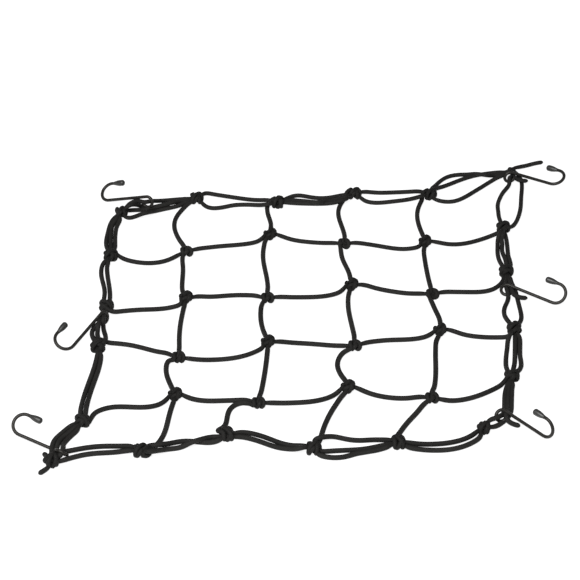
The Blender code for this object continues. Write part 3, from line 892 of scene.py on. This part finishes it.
def drawn_steel(hooks):
    """Dark drawn wire with fine marks along it."""
    if "Dark drawn steel" in bpy.data.materials:
        return bpy.data.materials["Dark drawn steel"]
    made, nodes, links, shader = new_material("Dark drawn steel")
    uv = nodes.new("ShaderNodeUVMap")
    stretch = nodes.new("ShaderNodeMapping")
    stretch.inputs["Scale"].default_value = WIRE_MARKS
    links.new(uv.outputs["UV"], stretch.inputs["Vector"])
    marks = patchy(nodes, links, stretch.outputs[0], scale=1.0, low=0.2, high=0.4)
    links.new(marks, shader.inputs["Roughness"])
    shade = patchy(nodes, links, stretch.outputs[0], scale=2.0, low=0.65, high=1.2)
    shaded(nodes, links, hooks.steel, shade, shader)
    raised(nodes, links, marks, shader, strength=0.25, depth=0.00003)
    shader.inputs["Metallic"].default_value = 0.3
    shader.inputs["Specular IOR Level"].default_value = 0.26
    shader.inputs["Specular Tint"].default_value = (0.3, 0.3, 0.3, 1.0)
    return made


def dipped_vinyl(hooks):
    """Glossy black dip with a faint orange peel."""
    if "Dipped black vinyl" in bpy.data.materials:
        return bpy.data.materials["Dipped black vinyl"]
    made, nodes, links, shader = new_material("Dipped black vinyl")
    place = nodes.new("ShaderNodeTexCoord").outputs["Object"]
    links.new(patchy(nodes, links, place, scale=160.0, low=0.34, high=0.5), shader.inputs["Roughness"])
    peel = patchy(nodes, links, place, scale=700.0, low=0.0, high=1.0)
    raised(nodes, links, peel, shader, strength=0.3, depth=0.00005)
    shaded(nodes, links, hooks.vinyl, patchy(nodes, links, place, scale=90.0, low=0.8, high=1.25), shader)
    shader.inputs["Specular IOR Level"].default_value = 0.35
    return made


# ---- operators ----
class CARGONET_OT_mesh(bpy.types.Operator):
    """Build the cords that run across the net and down it"""

    bl_idname = "cargonet.mesh"
    bl_label = "Mesh Cords"

    def execute(self, context):
        inner = range(1, LINES - 1)
        routes = [mesh_route(line, False) for line in inner]
        routes += [mesh_lobe((row, column)) for row in inner for column in inner]
        add_cords(context, "row_cords", routes)
        add_cords(context, "column_cords", [mesh_route(line, True) for line in inner], COLUMN_THICKNESS)
        return {"FINISHED"}


class CARGONET_OT_border(bpy.types.Operator):
    """Build the doubled border cords on each side and the strands that hold the hooks"""

    bl_idname = "cargonet.border"
    bl_label = "Border Cords"

    def execute(self, context):
        line, edge = range(LINES), LINES - 1
        radius = context.scene.cargonet_hook.eye_radius / MM
        sides = (
            ("far_border", FAR_BORDER, FREE_FAR, [(0, column) for column in line]),
            ("right_border", (), FREE_RIGHT, [(row, edge) for row in line]),
            ("near_border", NEAR_BORDER, FREE_NEAR, [(edge, column) for column in line]),
            ("left_border", LEFT_BORDER, FREE_LEFT, [(row, 0) for row in line]),
        )
        for name, border, free, knots in sides:
            routes = [
                border_route(knots[step], knots[step + 1], span, LANE_RISE[lane])
                for step, spans in enumerate(border)
                for lane, span in enumerate(spans)
            ]
            for first, last, way in free:
                routes.append(free_route(knots[first], last and knots[last], way, radius))
            routes += [lobed_turn(knot, lobe_twist(knot)) for knot in knots[1:-1]]
            add_cords(context, name, routes)
        return {"FINISHED"}


class CARGONET_OT_corners(bpy.types.Operator):
    """Build the corner knots and the cut ends that stand out of knots"""

    bl_idname = "cargonet.corners"
    bl_label = "Corner Knots and Cut Ends"

    def execute(self, context):
        routes = []
        for knot, heading, scale in CORNERS:
            routes.append(hitch_points(knot, math.radians(heading), 0.0, scale))
            routes.append(lobed_turn(knot, math.radians(heading) + lobe_twist(knot), scale))
        add_cords(context, "corner_knots", routes)
        radius = context.scene.cargonet_hook.eye_radius / MM
        ends = [free_route(knot, None, way, radius) for knot, way in TAILS]
        ends.append([listed(place) for place in FAR_RIGHT_TURN])
        add_cords(context, "cut_ends", ends)
        return {"FINISHED"}


class CARGONET_OT_hooks(bpy.types.Operator):
    """Build the six bent wire hooks and their dipped tips"""

    bl_idname = "cargonet.hooks"
    bl_label = "Wire Hooks"

    def execute(self, context):
        hooks = context.scene.cargonet_hook
        shank, bend, eye = (value / MM for value in (hooks.shank, hooks.bend_radius, hooks.eye_radius))
        direction = Vector((math.cos(hooks.bend_angle), math.sin(hooks.bend_angle), 0.0))
        for hook in HOOKS:
            eye_turn = Matrix.Rotation(math.radians(hook.eye_turn), 3, "X")
            points = []
            for step in range(EYE_STEPS, 0, -1):
                angle = hooks.eye_angle * step / EYE_STEPS
                points.append(eye_turn @ (Vector((-math.sin(angle), math.cos(angle) - 1.0, 0.0)) * eye))
            points += [Vector((shank * step / SHANK_STEPS, 0.0, 0.0)) for step in range(SHANK_STEPS)]
            for step in range(BEND_STEPS + 1):
                angle = hooks.bend_angle * step / BEND_STEPS
                points.append(Vector((shank + bend * math.sin(angle), bend * (1 - math.cos(angle)), 0.0)))
            end = points[-1]
            points += [end + direction * hooks.tip_reach / MM * share for share in UNDER_TIP]
            turn = hook_turn(hook)
            start = Vector((hook.east, hook.north, hook.up))
            path = smooth_route([start + turn @ point for point in points], WIRE_SPACING)
            radius = np.full(len(path), hooks.wire / MM / 2)
            radius[0] *= WIRE_END
            work = bmesh.new()
            add_tube(work, path, radius, WIRE_SIDES)
            name = hook.name
            add_piece(context, f"hook_wire_{name}", work, drawn_steel(hooks), "wire", f"hook_{name}")
            self.add_tip(context, hooks, name, start + turn @ end, turn @ direction)
        return {"FINISHED"}

    def add_tip(self, context, hooks, name, end, direction):
        """A dipped tip: thin where it starts on the wire and fullest near its round end."""
        length, reach = hooks.tip_length / MM, hooks.tip_reach / MM
        full = hooks.tip_diameter / MM / 2
        thin = hooks.wire / MM / 2 + TIP_SKIN
        capped = 1 - TIP_ROUND_FROM
        body = np.linspace(0.0, TIP_ROUND_FROM, TIP_BODY_RINGS)
        cap = 1 - capped * (1 - np.sin(np.linspace(0.1, math.pi / 2, TIP_CAP_RINGS)))
        shares = np.concatenate([body, cap])
        radii = []
        for share in shares:
            swelling = np.sin(min(share / TIP_FULL_AT, 1.0) * math.pi / 2) ** TIP_SWELL
            radius = thin + (full - thin) * swelling
            if share > TIP_ROUND_FROM:
                radius *= math.sqrt(max(0.0, 1 - ((share - TIP_ROUND_FROM) / capped) ** 2))
            radii.append(max(radius, TIP_POINT))
        start = np.array((end + direction * (reach - length))[:])
        path = start + np.outer(shares * length, np.array(direction[:]))
        work = bmesh.new()
        add_tube(work, path, radii, TIP_SIDES)
        add_piece(context, f"dipped_tip_{name}", work, dipped_vinyl(hooks), "tip", f"tip_{name}")


class CARGONET_OT_stage(bpy.types.Operator):
    """Build the pale floor, the soft studio light and the camera"""

    bl_idname = "cargonet.stage"
    bl_label = "Stage"

    def execute(self, context):
        stage = context.scene.cargonet_stage
        self.add_floor(context, stage)
        self.add_surround(context, stage)
        lamp = bpy.data.lights.new("softbox", "AREA")
        lamp.shape = "RECTANGLE"
        lamp.size, lamp.size_y = SOFTBOX_SIZE
        lamp.energy = stage.key_power
        place = Vector(SOFTBOX_PLACE)
        self.add_aimed(context, "softbox", lamp, place, place)
        camera = bpy.data.cameras.new("camera")
        camera.sensor_width = SENSOR
        camera.lens = SENSOR * FOCAL_PIXELS / PICTURE_PIXELS
        camera.clip_end = 50.0
        elevation = math.radians(ELEVATION)
        back = Vector((0.0, -math.cos(elevation), math.sin(elevation)))
        context.scene.camera = self.add_aimed(context, "camera", camera, LOOK_AT + back * DISTANCE, back)
        context.scene.view_settings.view_transform = "Standard"
        return {"FINISHED"}

    def add_aimed(self, context, name, data, place, back):
        """A lamp or a camera at a place, with its back to a direction."""
        aimed = bpy.data.objects.new(name, data)
        aimed.location = place
        aimed.rotation_mode = "QUATERNION"
        aimed.rotation_quaternion = back.to_track_quat("Z", "Y")
        context.scene.collection.objects.link(aimed)
        return aimed

    def add_floor(self, context, stage):
        """The pale floor. The camera sees it partly lit from itself, which thins the shadows."""
        work = bmesh.new()
        bmesh.ops.create_grid(work, x_segments=1, y_segments=1, size=stage.floor_size / 2)
        mesh = bpy.data.meshes.new("floor")
        work.to_mesh(mesh)
        work.free()
        paper, nodes, links, shader = new_material("Pale paper")
        shader.inputs["Base Color"].default_value = (*stage.floor, 1.0)
        shader.inputs["Roughness"].default_value = 0.9
        shader.inputs["Specular IOR Level"].default_value = 0.1
        glow = nodes.new("ShaderNodeEmission")
        glow.inputs["Strength"].default_value = stage.glow
        both = nodes.new("ShaderNodeMixShader")
        both.inputs[0].default_value = stage.wash
        links.new(shader.outputs[0], both.inputs[1])
        links.new(glow.outputs[0], both.inputs[2])
        self.show_camera(nodes, links, shader, both, nodes["Material Output"])
        mesh.materials.append(paper)
        floor = bpy.data.objects.new("floor", mesh)
        context.scene.collection.objects.link(floor)

    def add_surround(self, context, stage):
        """A white surround, which the camera sees brighter than it lights."""
        world = bpy.data.worlds.new("white surround")
        world.use_nodes = True
        nodes, links = world.node_tree.nodes, world.node_tree.links
        background = nodes["Background"]
        background.inputs["Color"].default_value = (1.0, 1.0, 1.0, 1.0)
        background.inputs["Strength"].default_value = stage.surround
        behind = nodes.new("ShaderNodeBackground")
        behind.inputs["Strength"].default_value = stage.glow
        self.show_camera(nodes, links, background, behind, nodes["World Output"])
        context.scene.world = world

    def show_camera(self, nodes, links, lighting, seen, output):
        """Puts out one shader for the light and another for what the camera sees."""
        rays = nodes.new("ShaderNodeLightPath")
        choice = nodes.new("ShaderNodeMixShader")
        links.new(rays.outputs["Is Camera Ray"], choice.inputs[0])
        links.new(lighting.outputs[0], choice.inputs[1])
        links.new(seen.outputs[0], choice.inputs[2])
        links.new(choice.outputs[0], output.inputs["Surface"])


class CARGONET_PT_panel(bpy.types.Panel):
    bl_label = "Cargo Net"
    bl_idname = "CARGONET_PT_panel"
    bl_space_type = "VIEW_3D"
    bl_region_type = "UI"
    bl_category = "Cargo Net"

    def draw(self, context):
        for name, group in SETTINGS:
            for field in group.__annotations__:
                self.layout.prop(getattr(context.scene, name), field)
        for step in STEPS:
            self.layout.operator(step.bl_idname)


STEPS = (
    CARGONET_OT_mesh,
    CARGONET_OT_border,
    CARGONET_OT_corners,
    CARGONET_OT_hooks,
    CARGONET_OT_stage,
)
SETTINGS = (
    ("cargonet_cord", CordSettings),
    ("cargonet_hook", HookSettings),
    ("cargonet_stage", StageSettings),
)


def register():
    for name, group in SETTINGS:
        bpy.utils.register_class(group)
        setattr(bpy.types.Scene, name, PointerProperty(type=group))
    for made in (*STEPS, CARGONET_PT_panel):
        bpy.utils.register_class(made)


def unregister():
    for made in (CARGONET_PT_panel, *reversed(STEPS)):
        bpy.utils.unregister_class(made)
    for name, group in reversed(SETTINGS):
        delattr(bpy.types.Scene, name)
        bpy.utils.unregister_class(group)


def main():
    register()
    bpy.ops.cargonet.mesh()
    bpy.ops.cargonet.border()
    bpy.ops.cargonet.corners()
    bpy.ops.cargonet.hooks()
    bpy.ops.cargonet.stage()


if __name__ == "__main__":
    main()
